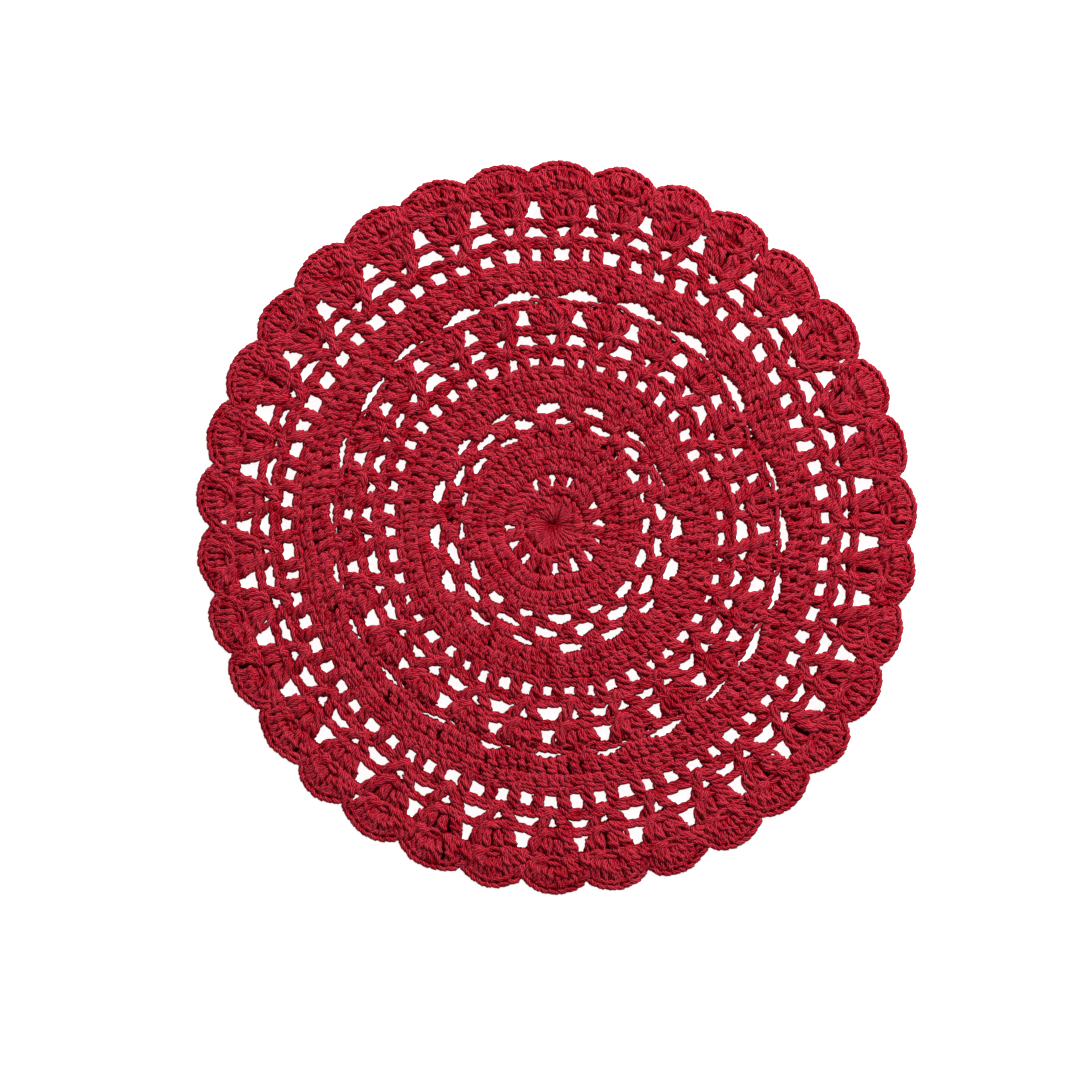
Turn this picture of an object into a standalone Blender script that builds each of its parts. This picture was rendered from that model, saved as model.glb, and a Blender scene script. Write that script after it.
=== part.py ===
"""Round crochet placemat: one flat sheet of yarn lace with a scalloped rim.

Metres and radians, +Z up.  The origin is on the table, under the middle of the mat.  The mat is worked
outwards in rounds from its eye, so every gap belongs to a round: it has a place in that round, and a
foot, a waist and a head at growing distances from the eye.  The sheet is drawn flat, with its gaps,
and then given its thickness.
"""
from collections import namedtuple
from math import asin, cos, exp, pi, radians, sin, sqrt

import bmesh
import bpy
from mathutils import Vector

MM = 0.001

# The sheet.  Two strands of 2.4 mm yarn cross in each stitch and bed into each other.
THICKNESS = 3.5 * MM

# The rim is a row of scallops, each the arc of a circle whose centre stands inside the mat.
SCALLOPS = 34
RIM_RADIUS = 188.2 * MM
SCALLOP_RADIUS = 22.3 * MM
FIRST_VALLEY = radians(-2.4)
SCALLOP_STEPS = 6

# The mat as it lies is a little longer one way than the other, and it draws in at the join, the line
# along which the rounds begin and end.
STRETCH = 0.010
STRETCH_ANGLE = radians(108)
JOIN_ANGLE = radians(26)
JOIN_SPREAD = radians(15)
JOIN_DIP = 4.4 * MM

# The outer rounds, from OUTER_START on, are turned a little further round on the side away from +X.
OUTER_START = 130 * MM
OUTER_TURN = radians(1.2)

# The rounds that leave gaps.  count gaps stand pitch apart from the one at first, in degrees.  Their
# feet, waists and heads lie at the distances inner, middle and outer from the eye, and are as wide as
# foot, waist and head say, in millimetres.  A width of 0 is a point, and None is no corner at all.
Round = namedtuple("Round", "count first pitch inner middle outer foot waist head")
ROUNDS = {
    "first_arches": Round(16, 31, 21.9, 46.4, 48.6, 50.4, 6.5, 8.2, 6.4),
    "second_arches": Round(16, 40, 21.8, 52.6, 55.6, 57.6, 0, 9.4, 6.4),
    "third_arches": Round(16, 26, 22.1, 59.6, 62.2, 64.6, 0, 10.4, 7.6),
    "inner_mesh": Round(47, 29.6, 7.65, 83.2, None, 88.0, 4.4, None, 4.8),
    "inner_brows": Round(24, 22, 15.3, 94.0, 95.6, 98.6, 7.6, 7.6, 0),
    "inner_wedges": Round(24, 22, 15.3, 104.4, None, 110.8, 8.2, None, 4.2),
    "slits": Round(24, 22, 15.3, 116.6, 118.2, 120.4, 8.0, 15.5, 10.0),
    "outer_mesh": Round(68, 2.9, 5.294, 137.2, None, 143.6, 6.4, None, 6.4),
    "outer_brows": Round(34, -2.4, 10.588, 149.2, 150.6, 154.4, 11.0, 9.0, 0),
    "outer_wedges": Round(34, -2.4, 10.588, 158.8, None, 167.6, 9.4, None, 4.0),
}

YARN_RED = (0.30, 0.014, 0.030, 1.0)
YARN_ROUGHNESS = 0.9


def clear_scene():
    for thing in list(bpy.data.objects):
        bpy.data.objects.remove(thing, do_unlink=True)


def make_yarn_material():
    material = bpy.data.materials.new("red_yarn")
    material.use_nodes = True
    shader = material.node_tree.nodes["Principled BSDF"]
    shader.inputs["Base Color"].default_value = YARN_RED
    shader.inputs["Roughness"].default_value = YARN_ROUGHNESS
    shader.inputs["Metallic"].default_value = 0.0
    return material


def laid(distance, angle):
    """Where a point of the even pattern lies on the mat, with its turn, its stretch and its dip."""
    if distance > OUTER_START:
        angle += OUTER_TURN * (1 - cos(angle))
    stretch = 1 + STRETCH * cos(2 * (angle - STRETCH_ANGLE))
    from_join = (angle - JOIN_ANGLE + pi) % (2 * pi) - pi
    dip = JOIN_DIP * sin(pi * distance / RIM_RADIUS) * exp(-(from_join / JOIN_SPREAD) ** 2)
    reach = distance * stretch - dip
    return Vector((reach * cos(angle), reach * sin(angle), 0))


def rim_outline():
    """The scallops one after another, each an arc from valley to valley."""
    pitch = 2 * pi / SCALLOPS
    centre = RIM_RADIUS - SCALLOP_RADIUS
    points = []
    for scallop in range(SCALLOPS):
        for step in range(SCALLOP_STEPS):
            off_peak = pitch * (step / SCALLOP_STEPS - 0.5)
            distance = centre * cos(off_peak) + sqrt(SCALLOP_RADIUS ** 2 - (centre * sin(off_peak)) ** 2)
            points.append(laid(distance, FIRST_VALLEY + pitch * (scallop + 0.5) + off_peak))
    return points


def gap_corners(row):
    """A gap's corners as distances from the eye and offsets to the side, once round."""
    right = []
    left = []
    for distance, width in ((row.inner, row.foot), (row.middle, row.waist), (row.outer, row.head)):
        if width is None:
            continue
        right.append((distance * MM, width * MM / 2))
        if width:
            left.append((distance * MM, -width * MM / 2))
    return right + left[::-1]


def gap_outlines(row):
    for place in range(row.count):
        middle = radians(row.first + place * row.pitch)
        yield [laid(distance, middle + asin(side / distance)) for distance, side in gap_corners(row)]


def add_loop(mesh, points):
    verts = [mesh.verts.new(point) for point in points]
    return [mesh.edges.new((verts[i - 1], verts[i])) for i in range(len(verts))]


def build_mat():
    mesh = bmesh.new()
    edges = add_loop(mesh, rim_outline())
    for row in ROUNDS.values():
        for points in gap_outlines(row):
            edges += add_loop(mesh, points)
    bmesh.ops.triangle_fill(mesh, edges=edges, use_beauty=True, normal=Vector((0, 0, 1)))
    raised = bmesh.ops.extrude_face_region(mesh, geom=mesh.faces[:], use_keep_orig=True)["geom"]
    top = [piece for piece in raised if isinstance(piece, bmesh.types.BMVert)]
    bmesh.ops.translate(mesh, verts=top, vec=Vector((0, 0, THICKNESS)))
    bmesh.ops.recalc_face_normals(mesh, faces=mesh.faces[:])
    data = bpy.data.meshes.new("crochet_mat")
    mesh.to_mesh(data)
    mesh.free()
    return data


def main():
    clear_scene()
    mat = bpy.data.objects.new("crochet_mat", build_mat())
    mat.data.materials.append(make_yarn_material())
    bpy.context.scene.collection.objects.link(mat)


main()
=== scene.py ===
"""Round crochet placemat in crimson cotton, worked in rounds from its eye to its scalloped rim.

Yarn is laid in millimetres and its meshes are made in metres.  Each round is written as a crocheter
would: the stitches of one repeat, with the place of each foot and top in degrees of that repeat.
"""
from collections import namedtuple
from math import cos, pi, radians, sin, sqrt

import bpy
import numpy as np
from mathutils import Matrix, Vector


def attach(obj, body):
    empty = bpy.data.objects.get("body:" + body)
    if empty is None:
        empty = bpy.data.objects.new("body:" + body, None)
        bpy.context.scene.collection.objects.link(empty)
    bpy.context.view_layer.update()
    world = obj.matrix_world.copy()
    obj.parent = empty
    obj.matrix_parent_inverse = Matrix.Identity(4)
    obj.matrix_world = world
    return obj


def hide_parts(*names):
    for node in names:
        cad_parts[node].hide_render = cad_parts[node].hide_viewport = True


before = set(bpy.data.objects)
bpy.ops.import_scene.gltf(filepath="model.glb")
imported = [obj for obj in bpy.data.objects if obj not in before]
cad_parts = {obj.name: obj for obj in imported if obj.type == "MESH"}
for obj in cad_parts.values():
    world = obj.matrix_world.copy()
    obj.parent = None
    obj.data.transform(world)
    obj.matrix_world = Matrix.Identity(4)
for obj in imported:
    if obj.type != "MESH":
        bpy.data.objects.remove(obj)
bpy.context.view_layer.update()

# ------------------------------------------------------------------------------------------------
# The eye, rounds 1 to 4.  Sixteen double crochets worked into one tight loop, then a round of
# eyelets, then two close rounds, all in soft many-ply cotton.  The hook starts here, so this
# section also holds the yarn, the way the mat lies, the stitches of every round, and the cotton.
# ------------------------------------------------------------------------------------------------
MM = 0.001
RIM = 188.2  # from the middle of the mat to the top of a scallop

# The yarn: half the thickness of a strand in a stitch, in an open chain and down a chain's back,
# and the heights of the lowest, middle and highest strands above the table.
YARN, OPEN_YARN, SPINE_YARN = 1.36, 1.57, 1.5
LOW, MIDDLE, HIGH = 1.45, 2.1, 3.4

# Hand work is never quite round: it stretches one way, draws in over the arches and at the join,
# and its outer rounds turn a little, more in some places than in others.
STRETCH, STRETCH_TOWARDS = 0.010, radians(108)
DRAWN, DRAWN_AT, DRAWN_OVER, DRAWN_TOWARDS = 1.2, 76.0, 26.0, radians(-6)
JOIN, JOIN_SPREAD, JOIN_DIP, JOIN_FROM = radians(24), radians(14), 5.4, 40.0
TURN, TURN_FROM, TURN_OVER = radians(1.2), 122.0, 14.0
PULLS = ((25, 9, -0.8), (58, 25, 1.75), (270, 32, 0.55))  # in degrees: where, how widely, how far
EYE_SHIFT, EYE_SHIFT_TO, EYE_SHIFT_OVER = np.array((-1.25, 1.15)), 62.0, 20.0
REST_SHIFT = np.array((-0.2, 0.1))

# Small waves of slack and pull run through the whole mat, and the rim is the calmest.
CALM_EDGE, LEAST_WAVE = 12.0, 0.25
WAVES, WAVE_PUSH = 24, 0.19
SHORTEST_WAVE, LONGEST_WAVE = 11, 60
waves = np.random.default_rng(3)
WAVE_TURNS = waves.uniform(0, 2 * pi, WAVES)
WAVE_LENGTHS = waves.uniform(SHORTEST_WAVE, LONGEST_WAVE, WAVES)
WAVE_STARTS = waves.uniform(0, 2 * pi, WAVES)
WAVE_PUSHES = waves.normal(0, WAVE_PUSH, (WAVES, 2))


def lie(distance, degrees):
    """Where points of the even pattern lie on the mat."""
    distance = np.asarray(distance, float)
    angle = np.radians(degrees)
    turned = TURN * (1 - np.cos(angle))
    for pulled_at, pulled_over, pull in PULLS:
        from_pull = (np.asarray(degrees) - pulled_at + 180) % 360 - 180
        turned = turned + radians(pull) * np.exp(-(from_pull / pulled_over) ** 2)
    angle = angle + turned * np.clip((distance - TURN_FROM) / TURN_OVER, 0, 1)
    reach = distance * (1 + STRETCH * np.cos(2 * (angle - STRETCH_TOWARDS)))
    drawn = DRAWN * np.exp(-((distance - DRAWN_AT) / DRAWN_OVER) ** 2)
    reach = reach + drawn * np.cos(2 * (angle - DRAWN_TOWARDS))
    from_join = (angle - JOIN + pi) % (2 * pi) - pi
    dip = JOIN_DIP * np.clip((distance - JOIN_FROM) / JOIN_FROM, 0, 1) * np.sin(pi * distance / RIM)
    reach = reach - dip * np.exp(-(from_join / JOIN_SPREAD) ** 2)
    place = np.stack([reach * np.cos(angle), reach * np.sin(angle)], -1)
    place = place + EYE_SHIFT * np.clip((EYE_SHIFT_TO - distance) / EYE_SHIFT_OVER, 0, 1)[..., None]
    place = place + REST_SHIFT * (1 - distance / RIM)[..., None]
    edge = np.clip((RIM - distance) / CALM_EDGE, LEAST_WAVE, 1)[..., None]
    for turn, length, start, push in zip(WAVE_TURNS, WAVE_LENGTHS, WAVE_STARTS, WAVE_PUSHES):
        along = place @ np.array([cos(turn), sin(turn)])
        place = place + edge * np.sin(2 * pi * along / length + start)[..., None] * push
    return place


def unit(vectors):
    """The same directions, each one long."""
    return vectors / np.maximum(np.linalg.norm(vectors, axis=-1, keepdims=True), 1e-9)


def smooth_paths(points, rings):
    """Even paths through the points that many strands follow."""
    last = points.shape[1] - 1
    where = np.linspace(0, last, rings)
    step = np.minimum(where.astype(int), last - 1)
    part = (where - step)[None, :, None]
    before = 2 * points[:, :1] - points[:, 1:2]
    after = 2 * points[:, -1:] - points[:, -2:-1]
    row = np.concatenate([before, points, after], axis=1)
    a, b, c, d = (row[:, step + k] for k in range(4))
    return 0.5 * (2 * b + (c - a) * part + (2 * a - 5 * b + 4 * c - d) * part ** 2
                  + (3 * b - a - 3 * c + d) * part ** 3)


# A strand is five-sided, thinner at its tips, a little uneven, and never goes into the table.
SIDES, TIP, UNEVEN_YARN, TABLE = 5, 0.5, 0.05, 0.05
NEARLY_UP = (0.001, 0.002, 1.0)

# A strand's own map runs along and round it.  On the shared map, strands that lie at one height
# share a row, and the plies come out the same at the end of a row as at its start.
PLIES, PLY_TURNS = 6, 0.42
MAP_START = 40  # a strand's map starts anywhere in this many millimetres
ROW_LENGTH = 21 / PLY_TURNS
ROWS, ROW_FROM, ROW_TO, ROW_INSET = 16, 1.3, 4.9, 0.02


class Skein:
    """The strands of one piece, gathered as they are worked and then made one mesh."""

    def __init__(self, seed):
        self.rng = np.random.default_rng(seed)
        self.corners, self.quads, self.caps = [], [], []
        self.quad_uvs, self.cap_uvs, self.quad_rows, self.cap_rows = [], [], [], []
        self.count = 0
        self.core = []

    def add(self, points, rings, thick):
        """Lays strands of so many rings each through their points."""
        paths = smooth_paths(points, rings)
        strands = len(paths)
        ahead = unit(np.gradient(paths, axis=1))
        side = np.empty_like(ahead)
        side[:, 0] = unit(np.cross(ahead[:, 0], NEARLY_UP))
        for ring in range(1, rings):
            carried = side[:, ring - 1]
            forward = (carried * ahead[:, ring]).sum(-1, keepdims=True)
            side[:, ring] = unit(carried - forward * ahead[:, ring])
        over = np.cross(ahead, side)
        around = np.arange(SIDES) * 2 * pi / SIDES
        uneven = self.rng.normal(1, UNEVEN_YARN, (strands, rings))
        thick = np.broadcast_to(thick, (strands, rings)) * uneven
        thick[:, [0, -1]] *= TIP
        thick = thick[:, :, None, None]
        corners = paths[:, :, None] + thick * (np.cos(around)[:, None] * side[:, :, None]
                                               + np.sin(around)[:, None] * over[:, :, None])
        corners[..., 2] = np.maximum(corners[..., 2], TABLE)
        along = np.linalg.norm(np.diff(paths, axis=1), axis=-1).cumsum(1)
        map_start = self.rng.uniform(0, MAP_START, (strands, 1))
        along = np.concatenate([np.zeros((strands, 1)), along], 1) + map_start

        first = self.count + (np.arange(strands) * rings * SIDES)[:, None, None]
        ring = (np.arange(rings - 1) * SIDES)[None, :, None]
        here = np.arange(SIDES)[None, None, :]
        there = (here + 1) % SIDES
        quads = np.stack([first + ring + here, first + ring + there,
                          first + ring + SIDES + there, first + ring + SIDES + here], -1)
        near, far = along[:, :-1, None], along[:, 1:, None]
        u = np.broadcast_to(np.stack([near, near, far, far], -1), quads.shape)
        v = np.broadcast_to(np.stack([here, here + 1, here + 1, here], -1) / SIDES, quads.shape)
        height = (paths[:, :-1, 2] + paths[:, 1:, 2]) / 2
        row = np.clip((height - ROW_FROM) / (ROW_TO - ROW_FROM) * ROWS, 0, ROWS - 1).astype(int)
        self.quads.append(quads.reshape(-1, 4))
        self.quad_uvs.append(np.stack([u, v], -1).reshape(-1, 2))
        self.quad_rows.append(np.broadcast_to(row[:, :, None, None], quads.shape).ravel())
        for ring_start, u, end, order in ((0, along[:, :1], 0, -1), (rings - 1, along[:, -1:], -1, 1)):
            places = np.arange(SIDES)[::order]
            self.caps.append(first[:, 0] + ring_start * SIDES + places)
            self.cap_uvs.append(np.stack(np.broadcast_arrays(u, places / SIDES), -1).reshape(-1, 2))
            self.cap_rows.append(np.repeat(row[:, end], SIDES))
        self.corners.append(corners.reshape(-1, 3))
        self.count += strands * rings * SIDES

    def mesh(self, name):
        """All the strands as one piece, with its two maps."""
        quads, caps = np.concatenate(self.quads), np.concatenate(self.caps)
        corners = np.concatenate(self.corners) * MM
        data = bpy.data.meshes.new(name)
        data.vertices.add(len(corners))
        data.vertices.foreach_set("co", corners.astype(np.float32).ravel())
        loops = np.concatenate([quads.ravel(), caps.ravel()])
        data.loops.add(len(loops))
        data.loops.foreach_set("vertex_index", loops.astype(np.int32))
        sizes = np.repeat([4, SIDES], [len(quads), len(caps)])
        data.polygons.add(len(sizes))
        data.polygons.foreach_set("loop_start", (np.cumsum(sizes) - sizes).astype(np.int32))
        data.update(calc_edges=True)
        data.polygons.foreach_set("use_smooth", np.ones(len(sizes), bool))
        uvs = np.concatenate(self.quad_uvs + self.cap_uvs)
        rows = np.concatenate(self.quad_rows + self.cap_rows)
        up = (rows + ROW_INSET + (1 - 2 * ROW_INSET) * uvs[:, 1]) / ROWS
        shared = np.stack([uvs[:, 0] / ROW_LENGTH, up], -1)
        data.uv_layers.new(name="yarn").data.foreach_set("uv", uvs.astype(np.float32).ravel())
        data.uv_layers.new(name="OFBake").data.foreach_set("uv", shared.astype(np.float32).ravel())
        piece = bpy.data.objects.new(name, data)
        bpy.context.scene.collection.objects.link(piece)
        return piece


# One link of a round's edge, once round its loop: along and across in links and widths, and height.
LINK = np.array([
    (-0.28, 0.10, -0.80), (0.02, 0.36, 0.10), (0.40, 0.78, 0.50), (0.80, 1.00, 0.45),
    (1.12, 0.78, 0.10), (1.20, 0.00, -0.30), (1.12, -0.78, 0.10),
    (0.80, -1.00, 0.45), (0.40, -0.78, 0.50), (0.02, -0.36, 0.10), (-0.28, -0.10, -0.80)])
LINK_RINGS = 10
# The strand that binds the rim's outer side, and the one down the back of an open chain.
BINDING = np.array([(-0.35, 0.80, -0.20), (0.50, 0.98, 0.25), (1.35, 0.80, -0.20)])
SPINE = np.array([(-0.3, 0, -0.40), (0.5, 0, 0.35), (1.3, 0, -0.40)])
# Where no stitch holds a link open it is narrower, lies lower and leans over.
OPEN_WIDE, OPEN_LEAN, OPEN_LIFT, CLOSED_LIFT = 0.62, 0.35, -0.1, 0.25
LEAST_LINK, MOST_LINK, LEAN_VARIES, LINK_LIFT_VARIES = 0.86, 1.14, 0.12, 0.14
BINDING_VARIES, SPINE_VARIES = 0.1, 0.2
OPEN_CORE_PAST, CLOSED_CORE = 0.4, 1.0


def fill_core(skein, near, far, near_wide, far_wide):
    """A flat piece of the dark core sheet, which is painted shade, under a stitch, as the four corners of
    its outline.
    """
    ahead = unit(far - near)
    side = np.stack([-ahead[:, 1], ahead[:, 0]], -1)
    near_wide, far_wide = (np.broadcast_to(w, len(near))[:, None] for w in (near_wide, far_wide))
    skein.core.append(np.stack([near + near_wide * side, near - near_wide * side,
                                far - far_wide * side, far + far_wide * side], 1))


def run_along(places, ahead, size, steps):
    """Points at these steps along each link."""
    return places[:, None] + np.array(steps)[None, :, None] * size * ahead[:, None]


def work_edge(skein, places, width, tilt, open_link, bound):
    """A round's edge: a chain of loops, each coming out of the one before it."""
    rng = skein.rng
    run = np.roll(places, -1, axis=0) - places
    size = np.linalg.norm(run, axis=1)[:, None, None]
    ahead = unit(run)
    out = np.stack([ahead[:, 1], -ahead[:, 0]], -1)
    along, across, height = LINK.T
    uneven = rng.uniform(LEAST_LINK, MOST_LINK, (len(places), 1, 1))
    wide = width * np.where(open_link, OPEN_WIDE, 1.0)
    outwards = across[None, :, None] * wide[:, None, None] * uneven * out[:, None]
    flat = run_along(places, ahead, size, along) + outwards
    lean = tilt + np.where(open_link, OPEN_LEAN, 0.0) + rng.normal(0, LEAN_VARIES, len(places))
    tall = MIDDLE + np.where(open_link, OPEN_LIFT, CLOSED_LIFT)[:, None] + height + lean[:, None] * across
    tall = tall + rng.normal(0, LINK_LIFT_VARIES, (len(places), 1))
    thick = np.where(open_link, OPEN_YARN, YARN)[:, None]
    skein.add(np.concatenate([flat, np.maximum(tall, LOW)[..., None]], -1), LINK_RINGS, thick)
    core_wide = np.where(open_link, wide + OPEN_CORE_PAST, CLOSED_CORE)
    fill_core(skein, places, np.roll(places, -1, axis=0), core_wide, core_wide)
    if bound:
        along, across, height = BINDING.T
        flat = run_along(places, ahead, size, along) + across[None, :, None] * width * out[:, None]
        tall = MIDDLE + height + rng.normal(0, BINDING_VARIES, (len(places), 1))
        skein.add(np.concatenate([flat, tall[..., None]], -1), len(BINDING), YARN)
    chains = np.flatnonzero(open_link)
    along, _, height = SPINE.T
    flat = run_along(places[chains], ahead[chains], size[chains], along)
    tall = MIDDLE + height + rng.normal(0, SPINE_VARIES, (len(chains), 1))
    skein.add(np.concatenate([flat, tall[..., None]], -1), len(SPINE), SPINE_YARN)


# The body of a stitch is a few strands twisted round each other, inside the room that it has.  Its
# strands go once round each other in its lay.  It hugs the edge below, tapers, is plump or flat
# across, puffs up in the middle, is crossed in front by wraps, dips under the edge above, and where
# its foot is drawn in it leaves a pit.
Body = namedtuple("Body", "lay rings hug taper strands plump puff wraps dip pit")
LAY = 8.5
CLIMB = (0.08, 0.94)
FIRST_PHASE = {3: 30, 4: 45, 6: 30}
FOOT_INSET, LEAST_FOOT, MOST_FOOT = 1.15, 0.15, 2.3
TOP_INSET, LEAST_TOP, MOST_TOP = 0.95, 0.3, 2.6
SWAY, SWING, LEAST_TWIST, MOST_TWIST = 0.38, 35, 0.75, 1.25
BULGE, STRAY, LIFT = 0.22, 0.28, 0.22
DIP_BELOW, PIT_DEPTH = 2.6, 1.5
# A strand laid across the front of a stitch, once over it: across and height.
WRAP = np.array([(-1.0, -1.5), (-0.6, -0.35), (0.0, 0.0), (0.6, -0.35), (1.0, -1.5)])
WRAP_PAST, WRAP_VARIES, WRAP_SLACK, WRAP_YARN = 0.75, 0.05, 0.15, 0.92 * YARN
LEAST_SLANT, MOST_SLANT = 0.55, 1.05
CLOSE_STITCHES = 16.5  # neighbours are one cloth if the gaps at feet and tops add up to less


def work_posts(skein, feet, tops, foot_room, top_room, bow, sink, body):
    """The bodies of stitches: turns of yarn that hug the edge below, climb twisted round each other
    and end under the edge above."""
    rng = skein.rng
    count = len(feet)
    run = tops - feet
    tall = np.linalg.norm(run, axis=1)[:, None]
    ahead = unit(run)
    side = np.stack([-ahead[:, 1], ahead[:, 0]], -1)
    climb = np.linspace(*CLIMB, body.rings - 4)[None]
    foot_wide = np.clip(foot_room / 2 - FOOT_INSET, LEAST_FOOT, MOST_FOOT)[:, None]
    top_wide = np.clip(top_room / 2 - TOP_INSET, LEAST_TOP, MOST_TOP)[:, None]
    wide = foot_wide + (top_wide - foot_wide) * np.sqrt(climb)
    arch = np.sin(pi * climb)
    sway = rng.normal(0, SWAY, (count, 1)) * arch + bow[:, None] * np.sin(pi * climb ** 0.7)
    swing = rng.normal(0, SWING, (count, 1))
    twist = 360 * tall / body.lay * rng.uniform(LEAST_TWIST, MOST_TWIST, (count, 1))
    bulge = rng.normal(0, BULGE, (count, 1))
    sink = sink[:, None]

    beside_feet, beside_tops = np.roll(feet, -1, axis=0), np.roll(tops, -1, axis=0)
    apart = np.linalg.norm(beside_tops - tops, axis=1) + np.linalg.norm(beside_feet - feet, axis=1)
    close = apart < CLOSE_STITCHES
    alone = ~(close & np.roll(close, 1))
    fill_core(skein, feet[alone], tops[alone], foot_wide[alone, 0], top_wide[alone, 0])
    skein.core.append(np.stack([beside_feet, feet, tops, beside_tops], 1)[close])

    for phase in np.arange(body.strands) * 360 / body.strands + FIRST_PHASE[body.strands]:
        angle = np.radians(phase + swing - twist * climb)
        stray = rng.normal(0, STRAY, (count, 2, 1))
        x = wide * np.cos(angle) + sway + stray[:, 0] * arch + stray[:, 1] * np.sin(2 * pi * climb)
        y = climb * tall
        lift = rng.normal(0, LIFT, (count, 1)) * np.sin(2 * pi * climb + rng.uniform(0, 2 * pi, (count, 1)))
        z = MIDDLE + bulge + body.plump * np.sin(angle) + lift + body.puff * arch
        z = z - body.dip * np.exp(-(tall - y - DIP_BELOW) ** 2)
        x_foot = foot_wide * cos(radians(phase)) + np.zeros((count, 3))
        if phase < 180:  # in front: down, round the edge below and over it, unless it is drawn in
            over = HIGH + 0.5 * bulge - 0.35 * np.clip(y - 0.4 * body.hug, 0, None) ** 2
            z = np.maximum(z, over + sink * (LOW - over))
            y_foot = np.array((0.5, -body.hug, -0.5 * body.hug)) + np.zeros((count, 1))
            z_foot = np.array((LOW, MIDDLE - 0.3, HIGH)) + bulge
            z_foot = z_foot + sink * (LOW - z_foot)
        else:  # behind: out from under the edge below
            y_foot = np.array((-0.3, -0.85 * body.hug, -0.25 * body.hug)) + np.zeros((count, 1))
            z_foot = np.array((MIDDLE, MIDDLE - 0.4, LOW)) + np.zeros((count, 1))
        z = z - PIT_DEPTH * sink * np.exp(-(y / body.pit) ** 2)
        x = np.concatenate([x_foot, x, x[:, -1:]], 1)
        y = np.concatenate([y_foot, y, tall + 0.6], 1)
        z = np.maximum(np.concatenate([z_foot, z, np.full((count, 1), MIDDLE - 0.4)], 1), LOW)
        flat = feet[:, None] + x[..., None] * side[:, None] + y[..., None] * ahead[:, None]
        skein.add(np.concatenate([flat, z[..., None]], -1), body.rings, YARN * body.taper)

    for wrap_at in body.wraps:
        centre = wrap_at + rng.normal(0, WRAP_VARIES, (count, 1))
        across = WRAP[:, 0] * (foot_wide + (top_wide - foot_wide) * sqrt(wrap_at) + WRAP_PAST)
        bowed = np.interp(wrap_at, climb[0], arch[0])
        x = across + bowed * (bow[:, None] + rng.normal(0, WRAP_SLACK, (count, 1)))
        y = centre * tall + across * rng.uniform(LEAST_SLANT, MOST_SLANT, (count, 1))
        z = HIGH + body.puff * sin(pi * wrap_at) - 0.1 + bulge + WRAP[:, 1]
        flat = feet[:, None] + x[..., None] * side[:, None] + y[..., None] * ahead[:, None]
        skein.add(np.concatenate([flat, z[..., None]], -1), len(WRAP), WRAP_YARN)


# A stitch has its foot and its top in degrees from the middle of its repeat, a rise above the
# round's reach in millimetres, and how far its foot is drawn in, from 0 to 1.
POST, CHAIN = "post", "chain"
Stitch = namedtuple("Stitch", "kind foot top rise sink", defaults=(0.0, 0.0, 0.0, 0.0))
SWELL_TOWARDS = 50  # degrees: the side on which the long chain arches stand taller
EXTRA_WIDE = 4.8  # half the width of the core under an extra stitch


def work_round(skein, below, repeats, stitches, reach, marks=None, start=0.0, width=1.3, tilt=-0.2, lay=LAY,
               rings=12, hug=2.5, wander=0.3, taper=1.0, bow=0.0, eye=1.3, strands=3, slack=0.0, wide=5.6,
               extra=(), plump=0.85, puff=0.4, wraps=(0.5,), swell=0.0, dip=0.6, pit=2.6, bound=False):
    """Works one round on the edge below, and gives its own edge as degrees and distances.

    Marks pair a repeat's number with its degrees, where the repeats aren't even.  Extra stitches stand
    at their own degrees, where the hook caught the edge once more than it should."""
    rng = skein.rng
    body = Body(lay, rings, hug, taper, strands, plump, puff, wraps, dip, pit)
    pitch = 360 / repeats
    mark_at, mark_degrees = np.array(marks or ((0, start), (repeats, start + 360)), float).T
    count = len(stitches)
    kinds, *numbers = zip(*stitches)
    foot, top, rise, sink = (np.array(part, float) for part in numbers)
    kinds = np.array(kinds)
    number = np.arange(repeats)[:, None] + 0.5

    def degrees(places):
        return np.interp(number + places / pitch, mark_at, mark_degrees)

    posts = np.tile(kinds == POST, repeats)
    sink = np.tile(sink, repeats)
    per_mm = np.degrees(1 / reach)
    top_degrees = (degrees(top) + rng.normal(0, wander * per_mm, (repeats, count))).ravel()
    rise = rise + np.where(kinds == CHAIN, rng.normal(0, 1, (repeats, 1)) * slack, 0)
    rise = rise + np.where(kinds == CHAIN, swell * np.cos(np.radians(degrees(top) - SWELL_TOWARDS)), 0)
    top_reach = (reach + rise + rng.normal(0, 0.3 * wander, (repeats, count))).ravel()
    foot_degrees = (degrees(foot) + rng.normal(0, wander * per_mm, (repeats, count))).ravel()[posts]

    def foot_at(places):
        if below is None:
            return np.full(places.shape, eye)
        order = np.argsort(below[0] % 360)
        return np.interp(places % 360, (below[0] % 360)[order], below[1][order], period=360)

    feet = lie(foot_at(foot_degrees), foot_degrees)
    tops = lie(top_reach, top_degrees)

    def room(places):
        beside = np.linalg.norm(np.roll(places, -1, axis=0) - places, axis=1)
        return (np.minimum(beside, wide) + np.minimum(np.roll(beside, 1), wide)) / 2

    lean = (degrees(top) - degrees(foot)).ravel()[posts] / per_mm
    work_posts(skein, feet, tops[posts], room(feet), room(tops[posts]), bow * lean, sink[posts], body)
    if len(extra):
        extra = np.array(extra, float)
        none, room_there = np.zeros(len(extra)), np.full(len(extra), wide)
        extra_feet, extra_tops = lie(foot_at(extra), extra), lie(np.full(len(extra), reach), extra)
        work_posts(skein, extra_feet, extra_tops, room_there, room_there, none, none, body)
        fill_core(skein, extra_feet, extra_tops, EXTRA_WIDE, EXTRA_WIDE)
    both_open = np.tile(kinds == CHAIN, repeats)
    both_open = both_open | np.roll(both_open, -1)
    work_edge(skein, tops, width, tilt, both_open, bound)
    return top_degrees, top_reach


def close_row(count, pitch):
    """The stitches of a repeat worked side by side with no gap."""
    return [Stitch(POST, place, place) for place in (np.arange(count) - (count - 1) / 2) * pitch / count]


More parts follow.
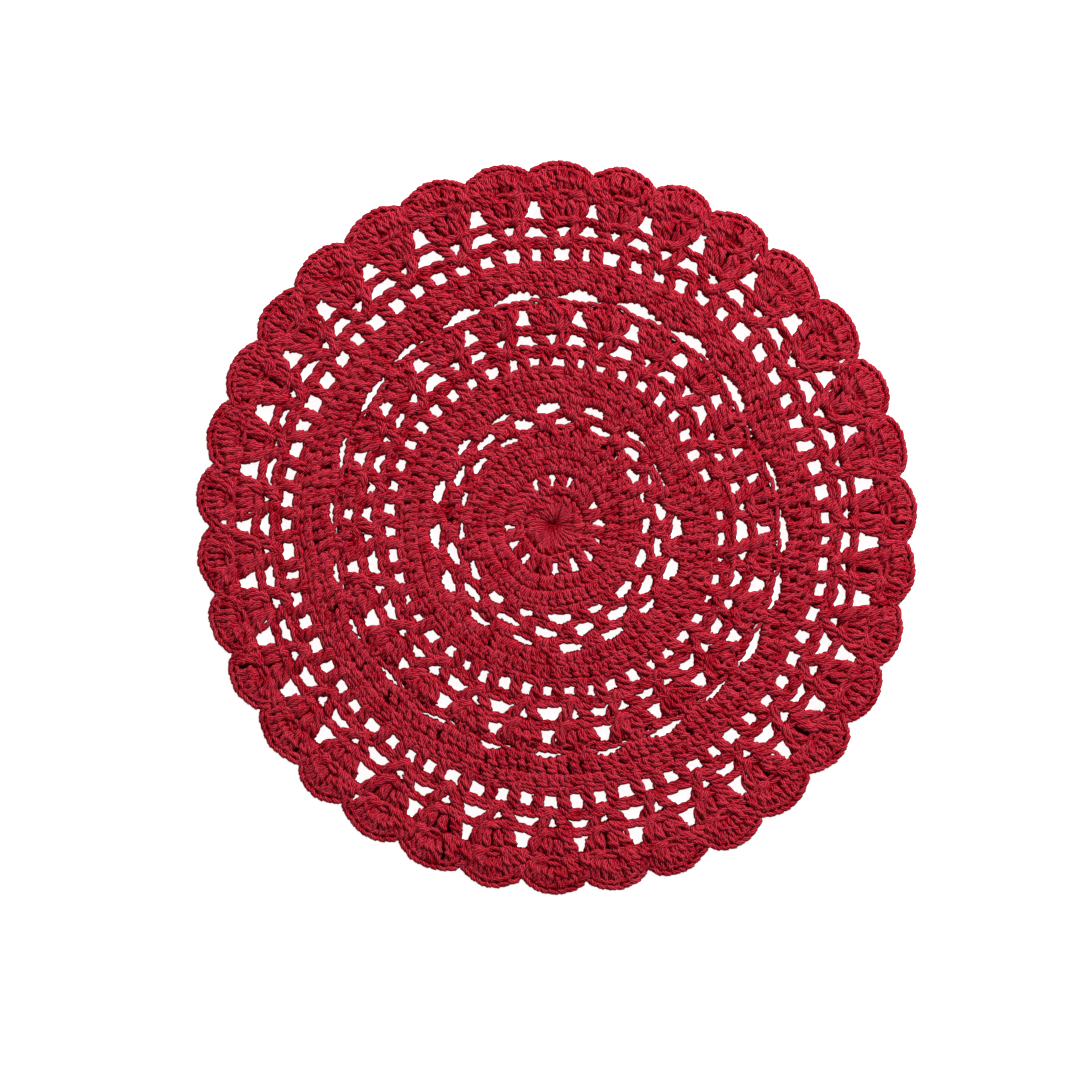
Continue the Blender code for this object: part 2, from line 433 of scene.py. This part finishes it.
eye = Skein(11)
edge = work_round(
    eye, None, 16, [Stitch(POST, 0, 0, 0, 0.7)],
    18.4, start=4, rings=16, hug=0.3, wide=7.2, strands=6, lay=60, plump=0.6, wraps=(0.7,), dip=1.0,
    taper=np.interp(np.arange(16), (0, 3, 6, 9), (0.45, 0.5, 0.75, 0.95)))
edge = work_round(
    eye, edge, 16, [Stitch(POST), Stitch(CHAIN, 0, 11.25)],
    28.5, start=3, width=1.9, strands=4, lay=14, wide=6.8, extra=(48, 138, 156))
edge = work_round(eye, edge, 16, close_row(3, 22.5), 36.5, start=3)
edge = work_round(eye, edge, 16, close_row(4, 22.5), 43.8, start=3)
eye_rounds = eye.mesh("eye_rounds")


# The cotton: painted shade between the plies and down in the stitches, darker the lower a point lies,
# and a painted pinkish highlight on top, with fine fuzz and a slow change of tone along the skein.
# A stray orange fibre is spun in here and there.
def add_node(tree, kind, sockets=None, **settings):
    """Adds a shader node; a socket is given a value or another node's output."""
    made = tree.nodes.new("ShaderNode" + kind)
    for name, setting in settings.items():
        setattr(made, name, setting)
    for name, given in (sockets or {}).items():
        if isinstance(given, bpy.types.NodeSocket):
            tree.links.new(given, made.inputs[name])
        else:
            made.inputs[name].default_value = given
    return made


def reckon(tree, operation, *parts):
    """A number worked out from others."""
    return add_node(tree, "Math", dict(enumerate(parts)), operation=operation).outputs[0]


spun = bpy.data.node_groups.new("spun_cotton", "ShaderNodeTree")
spun.interface.new_socket("Fibre Scale", in_out="INPUT", socket_type="NodeSocketFloat")
spun.interface.new_socket("Tone Scale", in_out="INPUT", socket_type="NodeSocketFloat")
spun.interface.new_socket("Fuzz", in_out="OUTPUT", socket_type="NodeSocketFloat")
spun.interface.new_socket("Tone", in_out="OUTPUT", socket_type="NodeSocketFloat")
given = spun.nodes.new("NodeGroupInput")
result = spun.nodes.new("NodeGroupOutput")
place = add_node(spun, "TexCoord").outputs["Object"]
fibre = add_node(spun, "TexNoise", {"Vector": place, "Scale": given.outputs["Fibre Scale"], "Detail": 2})
tone = add_node(spun, "TexNoise", {"Vector": place, "Scale": given.outputs["Tone Scale"], "Detail": 4})
spun.links.new(reckon(spun, "ADD", fibre.outputs[0], 0.5), result.inputs["Fuzz"])
spun.links.new(reckon(spun, "ADD", tone.outputs[0], 0.5), result.inputs["Tone"])

FIBRE_SCALE, TONE_SCALE, FLECK_SCALE = 1400, 160, 190
# The ramp runs from painted shade in pits and ply grooves at its dark end to a painted pinkish highlight at
# its top.
CRIMSON_SHADE_TO_HIGHLIGHT = ((0.02, (0.018, 0.0006, 0.001, 1)), (0.55, (0.36, 0.0012, 0.008, 1)),
           (0.82, (0.60, 0.013, 0.037, 1)), (1.0, (0.76, 0.052, 0.092, 1)))
ORANGE = (0.6, 0.05, 0.008, 1)

cotton = bpy.data.materials.new("crimson_cotton")
cotton.use_nodes = True
shading_nodes = cotton.node_tree
shader = shading_nodes.nodes["Principled BSDF"]
yarn_map = add_node(shading_nodes, "SeparateXYZ", {0: add_node(shading_nodes, "UVMap", uv_map="yarn").outputs["UV"]})
ply = reckon(shading_nodes, "ADD", reckon(shading_nodes, "MULTIPLY", yarn_map.outputs["Y"], PLIES),
             reckon(shading_nodes, "MULTIPLY", yarn_map.outputs["X"], -PLY_TURNS))
ridge = reckon(shading_nodes, "ABSOLUTE", reckon(shading_nodes, "SINE", reckon(shading_nodes, "MULTIPLY", ply, pi)))
thread = add_node(shading_nodes, "Group", node_tree=spun)
thread.inputs["Fibre Scale"].default_value = FIBRE_SCALE
thread.inputs["Tone Scale"].default_value = TONE_SCALE
# Painted shade and painted highlight: the ply pattern darkens the grooves between plies and lightens their
# crests, and the same pattern raises the bump.
strand = reckon(shading_nodes, "MULTIPLY", reckon(shading_nodes, "POWER", ridge, 0.5), thread.outputs["Fuzz"])
place = add_node(shading_nodes, "TexCoord").outputs["Object"]
# Painted shade: the colour darkens the lower a point lies, for the shade down in the stitches.
painted_low_shade = add_node(shading_nodes, "MapRange", {
    "Value": add_node(shading_nodes, "SeparateXYZ", {0: place}).outputs["Z"],
    "From Min": 1.6 * MM, "From Max": 3.7 * MM, "To Min": 0.28, "To Max": 1.05})
shade = reckon(shading_nodes, "MULTIPLY", painted_low_shade.outputs[0], reckon(shading_nodes, "MULTIPLY", strand, thread.outputs["Tone"]))
colours = add_node(shading_nodes, "ValToRGB", {0: shade})
steps = colours.color_ramp.elements
while len(steps) < len(CRIMSON_SHADE_TO_HIGHLIGHT):
    steps.new(0.5)
for step, (position, colour) in zip(steps, CRIMSON_SHADE_TO_HIGHLIGHT):
    step.position = position
    step.color = colour
fleck = add_node(shading_nodes, "TexNoise", {"Vector": place, "Scale": FLECK_SCALE, "Detail": 1})
rare = add_node(shading_nodes, "MapRange", {"Value": fleck.outputs[0], "From Min": 0.83, "From Max": 0.88})
dyed_and_shaded = add_node(shading_nodes, "Mix", {0: rare.outputs[0], 6: colours.outputs[0], 7: ORANGE}, data_type="RGBA")
shading_nodes.links.new(dyed_and_shaded.outputs[2], shader.inputs["Base Color"])
shader.inputs["Roughness"].default_value = 0.9
shader.inputs["Specular IOR Level"].default_value = 0.03
raised = add_node(shading_nodes, "Bump", {"Height": strand, "Strength": 1.0, "Distance": 0.3 * MM})
shading_nodes.links.new(raised.outputs[0], shader.inputs["Normal"])

eye_rounds.data.materials.append(cotton)
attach(eye_rounds, "root")

# ------------------------------------------------------------------------------------------------
# The arches, rounds 5 to 7.  Pairs and then threes of double crochets in the same cotton, with three
# chains between them, each group worked over the chains of the round before.  The last arches
# squeeze up at the join, where the hook steps to the next round.
# ------------------------------------------------------------------------------------------------
arches = Skein(12)
edge = work_round(
    arches, edge, 17,
    [Stitch(CHAIN, 0, -10.5, 3.8), Stitch(CHAIN, 0, -6.6, 2.0), Stitch(POST, -2.5, -2.6),
     Stitch(POST, 2.5, 2.6), Stitch(CHAIN, 0, 6.6, 2.0)],
    50.2, marks=((0, 31.5), (7, 185), (8, 208.5), (15, 360), (16, 378), (17, 391.5)), width=1.8,
    slack=0.5, wide=5.6, rings=11, lay=11, extra=(53, 76, 97))
edge = work_round(
    arches, edge, 17,
    [Stitch(CHAIN, 0, -10.5, 2.2), Stitch(CHAIN, 0, -6.2, 1.2), Stitch(POST, -1.6, -3.1),
     Stitch(POST, 1.6, 3.1), Stitch(CHAIN, 0, 6.2, 1.2)],
    58.1, marks=((0, 42), (7, 195), (9, 243), (14, 348), (15, 368), (16, 387), (17, 402)), width=1.9,
    slack=0.5, wide=6.4, rings=11, lay=11, extra=(173,))
edge = work_round(
    arches, edge, 16,
    [Stitch(CHAIN, 0, -11.2, 1.8), Stitch(CHAIN, 0, -7.4, 1.2), Stitch(POST, -2.4, -4.8), Stitch(POST),
     Stitch(POST, 2.4, 4.8), Stitch(CHAIN, 0, 7.4, 1.2)],
    65.9, marks=((0, 26), (2, 71.5), (12, 299), (15, 359), (16, 386)), width=2.1, slack=0.4, wide=5.6,
    rings=11, lay=11)
arch_rounds = arches.mesh("arch_rounds")
arch_rounds.data.materials.append(cotton)
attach(arch_rounds, "root")

# ------------------------------------------------------------------------------------------------
# The inner band, rounds 8 and 9.  Ninety-six double crochets a round in the same cotton, side by
# side with no chains, so the band is closed cloth.
# ------------------------------------------------------------------------------------------------
band = Skein(13)
edge = work_round(band, edge, 96, [Stitch(POST, -0.4, 0.4)], 73.6, wander=0.5, rings=11)
edge = work_round(band, edge, 96, [Stitch(POST, -0.4, 0.4)], 80.8, start=1.9, wander=0.5, rings=11)
inner_band = band.mesh("inner_band")
inner_band.data.materials.append(cotton)
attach(inner_band, "root")

# ------------------------------------------------------------------------------------------------
# The inner net, rounds 10 to 13, in the same cotton: open squares, V stitches over every other
# square, fans of four in the Vs, and long arches of chain that dip to the head of each fan.
# ------------------------------------------------------------------------------------------------
SQUARE_MARKS = ((0, 18.5), (1, 27), (2, 36), (4, 51), (17, 150.8), (30, 252), (37, 304.6), (44, 356),
                (45, 365), (47, 378.5))
FAN_MARKS = ((0, 22.5), (12, 206.7), (23, 374.3), (24, 382.5))
SQUARE = dict(wander=0.6, rings=12, tilt=0, wide=7.4, strands=4, lay=16)
V_STITCH = dict(rings=12, tilt=0, strands=4, hug=3.0, lay=18)
FAN = dict(rings=13, hug=3.2, strands=4, plump=0.65, puff=0.9, wraps=(0.62,), pit=3.4)
net = Skein(14)
edge = work_round(
    net, edge, 47, [Stitch(POST), Stitch(CHAIN, 0, 3.83)],
    91.4, marks=SQUARE_MARKS, width=4.2, extra=(372,), **SQUARE)
edge = work_round(
    net, edge, 24,
    [Stitch(POST, -0.65, -4.7, 0.2), Stitch(CHAIN, 0, -1.6, 0.3), Stitch(CHAIN, 0, 1.6, 0.3),
     Stitch(POST, 0.65, 4.7, 0.2), Stitch(CHAIN, 0, 7.5, -0.3)],
    102.3, marks=FAN_MARKS, width=2.5, wide=7.4, **V_STITCH)
edge = work_round(
    net, edge, 24,
    [Stitch(POST, -1.9, -5.2, -0.4), Stitch(POST, -0.8, -1.75, 0, 1), Stitch(POST, 0.8, 1.75, 0, 1),
     Stitch(POST, 1.9, 5.2, -0.4), Stitch(CHAIN, 0, 7.5, -0.3)],
    114.0, marks=FAN_MARKS, width=2.5, tilt=0, bow=0.2, wide=7.4, lay=22, **FAN)
edge = work_round(
    net, edge, 24,
    [Stitch(POST, 0, 0, -3.6), Stitch(CHAIN, 0, 2.5, -3.2), Stitch(CHAIN, 0, 5.0, -1.4),
     Stitch(CHAIN, 0, 7.5, -0.6), Stitch(CHAIN, 0, 10.0, -1.4), Stitch(CHAIN, 0, 12.5, -3.2)],
    123.0, marks=FAN_MARKS, rings=10, slack=0.2, width=1.8, wide=6.6, swell=1.6, wraps=(), extra=(22.5,))
net_rounds = net.mesh("net_rounds")
net_rounds.data.materials.append(cotton)
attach(net_rounds, "root")

# ------------------------------------------------------------------------------------------------
# The outer band, rounds 14 and 15.  Close double crochets in the same cotton, worked into the long
# chain arches and then into each other.
# ------------------------------------------------------------------------------------------------
wide_band = Skein(15)
edge = work_round(wide_band, edge, 144, [Stitch(POST, -0.25, 0.25)], 129.0, rings=10, wander=0.5, hug=2.1)
edge = work_round(wide_band, edge, 136, [Stitch(POST, -0.25, 0.25)], 134.9, rings=10, wide=6.4, wander=0.5)
outer_band = wide_band.mesh("outer_band")
outer_band.data.materials.append(cotton)
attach(outer_band, "root")

# ------------------------------------------------------------------------------------------------
# The outer net, rounds 16 and 17, in the same cotton: two open squares to a scallop, and then a V
# stitch under the middle of each scallop, with two chains between the Vs.
# ------------------------------------------------------------------------------------------------
SCALLOPS = 34
SCALLOP = dict(repeats=SCALLOPS, start=-2.8)
VALLEY = 5.294  # degrees from a scallop's middle to the valley beside it
outer = Skein(16)
edge = work_round(
    outer, edge,
    stitches=[Stitch(POST, -2.8, -2.8), Stitch(CHAIN, 0, 0, 0.1), Stitch(POST, 2.8, 2.8),
              Stitch(CHAIN, 0, VALLEY, 0.1)],
    reach=146.0, width=3.8, **SQUARE, **SCALLOP)
edge = work_round(
    outer, edge,
    stitches=[Stitch(POST, -0.5, -3.3, 0.1), Stitch(CHAIN, 0, -1.15, 0.1), Stitch(CHAIN, 0, 1.15, 0.1),
              Stitch(POST, 0.5, 3.3, 0.1), Stitch(CHAIN, 0, VALLEY, -0.2)],
    reach=156.4, width=1.9, wide=6.6, **V_STITCH, **SCALLOP)
outer_net = outer.mesh("outer_net")
outer_net.data.materials.append(cotton)
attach(outer_net, "root")

# ------------------------------------------------------------------------------------------------
# The fans, round 18.  Four tall stitches in the same cotton, worked into each V so that they spread
# from a small pit, with two chains to the next fan.
# ------------------------------------------------------------------------------------------------
fans = Skein(17)
edge = work_round(
    fans, edge,
    stitches=[Stitch(POST, -1.35, -3.7, -0.4), Stitch(POST, -0.6, -1.3, 0, 1),
              Stitch(POST, 0.6, 1.3, 0, 1), Stitch(POST, 1.35, 3.7, -0.4), Stitch(CHAIN, 0, VALLEY, -0.4)],
    reach=170.1, width=1.9, tilt=-0.1, bow=0.22, wide=7.2, wander=0.2, lay=24, **FAN, **SCALLOP)
fan_round = fans.mesh("fan_round")
fan_round.data.materials.append(cotton)
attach(fan_round, "root")

# ------------------------------------------------------------------------------------------------
# The rim, round 19.  Eight tall stitches fanned from the middle of each fan, with a short one down
# in the valley, and a plait of closed links that runs round all thirty-four scallops.
# ------------------------------------------------------------------------------------------------
SCALLOP_RADIUS = 22.3
RIM_START = -2.3  # degrees: the shells sit a little round from the fans
SHELL_STITCHES = 8
SHELL_HALF = 4.4  # degrees from a shell's middle to the top of its outermost stitch
SHELL_FOOT, SHELL_FOOT_SPREAD = 0.25, 2.15  # degrees from its middle to the feet
DRAWN_IN_WITHIN = 2.5  # degrees: the stitches whose feet are drawn in
PLAIT_INSET, VALLEY_INSET = 3.2, 2.6


def rim_at(degrees_off):
    """How far the scalloped line falls inside the rim's circle, this many degrees off its middle."""
    centre = RIM - SCALLOP_RADIUS
    off = radians(degrees_off)
    return centre * cos(off) + sqrt(SCALLOP_RADIUS ** 2 - (centre * sin(off)) ** 2) - RIM


rim = Skein(18)
shell = [Stitch(POST, np.sign(place) * (SHELL_FOOT + SHELL_FOOT_SPREAD * (abs(place) / SHELL_HALF) ** 2),
                place, rim_at(place), abs(place) < DRAWN_IN_WITHIN)
         for place in np.linspace(-SHELL_HALF, SHELL_HALF, SHELL_STITCHES)]
valley = Stitch(POST, VALLEY, VALLEY, rim_at(VALLEY) - VALLEY_INSET)
edge = work_round(
    rim, edge, repeats=SCALLOPS, stitches=shell + [valley], reach=RIM - PLAIT_INSET, start=RIM_START,
    rings=14, width=1.9, tilt=0.0, bow=0.25, hug=2.0, dip=0.2, wander=0.5, wide=5.6, lay=18, plump=0.6,
    puff=0.8, pit=4.4, bound=True)
scallop_rim = rim.mesh("scallop_rim")
scallop_rim.data.materials.append(cotton)
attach(scallop_rim, "root")
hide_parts("crochet_mat")

# ------------------------------------------------------------------------------------------------
# The core of the cloth: a dark sheet of painted shade between the yarn above and below, which closes
# the gaps inside and between the stitches.  All the rounds add to this one sheet, and it lies flat on the
# table.
# ------------------------------------------------------------------------------------------------
CORE_LOW, CORE_HIGH = 1.25, 1.75
EYE_FILLING = 2.5  # from the middle of the eye to a corner of the piece that fills it
LEAST_PIECE = 0.05  # square millimetres
BOX_SIDES = np.array([(3, 2, 1, 0), (4, 5, 6, 7), (0, 1, 5, 4), (1, 2, 6, 5), (2, 3, 7, 6), (3, 0, 4, 7)])
# The core's two dark crimsons are painted shade, darker than the yarn's own colour.
CORE_SHADE_CRIMSON = ((0.6, (0.045, 0.0012, 0.0025, 1)), (1.4, (0.095, 0.0028, 0.0055, 1)))

eye_filling = np.array([[(1, 0), (0, 1), (-1, 0), (0, -1)]]) * EYE_FILLING + EYE_SHIFT
skeins = (eye, arches, band, net, wide_band, outer, fans, rim)
outlines = np.concatenate([eye_filling] + [outline for skein in skeins for outline in skein.core])
across, down = outlines[:, 2] - outlines[:, 0], outlines[:, 3] - outlines[:, 1]
outlines = outlines[(across[:, 0] * down[:, 1] - across[:, 1] * down[:, 0]) / 2 > LEAST_PIECE]
count = len(outlines)
below = np.concatenate([outlines, np.full((count, 4, 1), CORE_LOW)], -1)
above = np.concatenate([outlines, np.full((count, 4, 1), CORE_HIGH)], -1)
corners = np.concatenate([below, above], 1).reshape(-1, 3) * MM
faces = (np.arange(count)[:, None, None] * 8 + BOX_SIDES[None]).reshape(-1, 4)
data = bpy.data.meshes.new("shade_core")
data.from_pydata(corners.tolist(), [], faces.tolist())
shade_core = bpy.data.objects.new("shade_core", data)
bpy.context.scene.collection.objects.link(shade_core)

# Painted shade: the core's material is a dark crimson that stands in for the shade under and between the
# strands.
core_shade = bpy.data.materials.new("core_painted_shade")
core_shade.use_nodes = True
shading_nodes = core_shade.node_tree
shader = shading_nodes.nodes["Principled BSDF"]
thread = add_node(shading_nodes, "Group", node_tree=spun)
thread.inputs["Fibre Scale"].default_value = FIBRE_SCALE
thread.inputs["Tone Scale"].default_value = TONE_SCALE
shade = add_node(shading_nodes, "MapRange", {
    "Value": reckon(shading_nodes, "MULTIPLY", thread.outputs["Fuzz"], thread.outputs["Tone"]),
    "From Min": CORE_SHADE_CRIMSON[0][0], "From Max": CORE_SHADE_CRIMSON[1][0]})
dyed_and_shaded = add_node(shading_nodes, "Mix", {0: shade.outputs[0], 6: CORE_SHADE_CRIMSON[0][1], 7: CORE_SHADE_CRIMSON[1][1]},
                data_type="RGBA")
shading_nodes.links.new(dyed_and_shaded.outputs[2], shader.inputs["Base Color"])
shader.inputs["Roughness"].default_value = 1.0
shader.inputs["Specular IOR Level"].default_value = 0.03
raised = add_node(shading_nodes, "Bump", {"Height": thread.outputs["Fuzz"], "Strength": 1.0, "Distance": 0.3 * MM})
shading_nodes.links.new(raised.outputs[0], shader.inputs["Normal"])
shade_core.data.materials.append(core_shade)
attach(shade_core, "root")

# ------------------------------------------------------------------------------------------------
# The studio: a plain white table under the mat, soft light from one window behind and to the right,
# a pale room, and a camera on a stand that looks straight down.
# ------------------------------------------------------------------------------------------------
TABLE_SIZE, TABLE_DROP, TABLE_GLOW = 6, 0.0005, 0.9
WINDOW_PLACE, WINDOW_SIZE, WINDOW_POWER = (1.05, 1.75, 1.40), 0.45, 67
ROOM_LIGHT = 0.15
CAMERA_PLACE, LENS = (-0.0086, -0.0066, 1.628), 105

bpy.ops.object.select_all(action="DESELECT")
bpy.ops.mesh.primitive_plane_add(size=TABLE_SIZE, location=(0, 0, -TABLE_DROP))
table = bpy.context.object
table.name = "table"
white = bpy.data.materials.new("white_table")
white.use_nodes = True
shader = white.node_tree.nodes["Principled BSDF"]
shader.inputs["Base Color"].default_value = (0.8, 0.8, 0.8, 1)
shader.inputs["Roughness"].default_value = 0.9
shader.inputs["Emission Color"].default_value = (1, 1, 1, 1)
shader.inputs["Emission Strength"].default_value = TABLE_GLOW
table.data.materials.append(white)

light = bpy.data.lights.new("window", "AREA")
light.shape = "DISK"
light.size = WINDOW_SIZE
light.energy = WINDOW_POWER
window = bpy.data.objects.new("window", light)
window.location = WINDOW_PLACE
window.rotation_euler = (-Vector(WINDOW_PLACE)).to_track_quat("-Z", "Y").to_euler()
bpy.context.scene.collection.objects.link(window)

room = bpy.data.worlds.new("room")
room.use_nodes = True
room.node_tree.nodes["Background"].inputs["Color"].default_value = (1, 1, 1, 1)
room.node_tree.nodes["Background"].inputs["Strength"].default_value = ROOM_LIGHT
bpy.context.scene.world = room
bpy.context.scene.view_settings.view_transform = "Standard"

camera = bpy.data.cameras.new("camera")
camera.lens = LENS
camera_stand = bpy.data.objects.new("camera", camera)
camera_stand.location = CAMERA_PLACE
bpy.context.scene.collection.objects.link(camera_stand)
bpy.context.scene.camera = camera_stand
